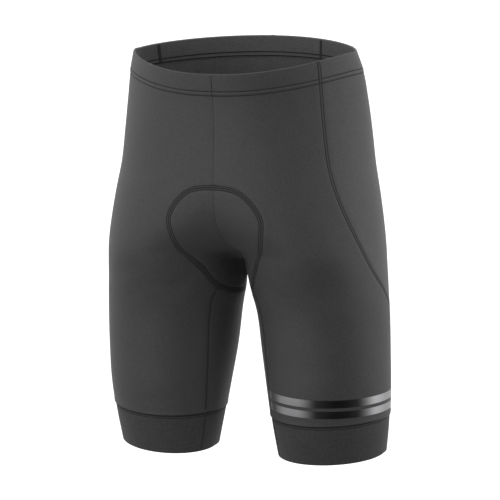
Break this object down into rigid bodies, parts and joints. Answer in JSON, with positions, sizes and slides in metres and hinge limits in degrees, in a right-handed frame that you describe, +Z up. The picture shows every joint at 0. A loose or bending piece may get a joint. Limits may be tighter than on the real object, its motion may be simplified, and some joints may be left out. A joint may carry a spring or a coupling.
{
  "type": "cycling shorts",
  "caption": "Close-fitting stretch cycling shorts, hollow and filled out as worn, with an elastic waistband, shaped side panels and snug leg grippers.",
  "frame": {"origin": "middle of the waist opening, level with the middle of the waistband at the sides, where the wearer's waist holds the shorts up", "axes": "+Z up towards the wearer's head, +X to the wearer's left side, -Y to the front"},
  "size_m": [0.3765, 0.2431, 0.533],
  "materials": {
    "panel_knit": "smooth charcoal stretch knit with a faint sheen",
    "side_knit": "smooth charcoal stretch knit, slightly lighter than the front",
    "band_knit": "matt knit casing over elastic",
    "gripper_knit": "matt, finely ribbed stretch knit",
    "seam_thread": "textured polyester thread",
    "reflective_film": "smooth grey film pressed on the cloth"
  },
  "bodies": {
    "root": {"waistband": "band_knit", "front_left": "panel_knit", "front_right": "panel_knit", "side_left": "side_knit", "side_right": "side_knit", "back_left": "panel_knit", "back_right": "panel_knit", "cuff_left": "gripper_knit", "cuff_right": "gripper_knit"}
  },
  "joints": []
}
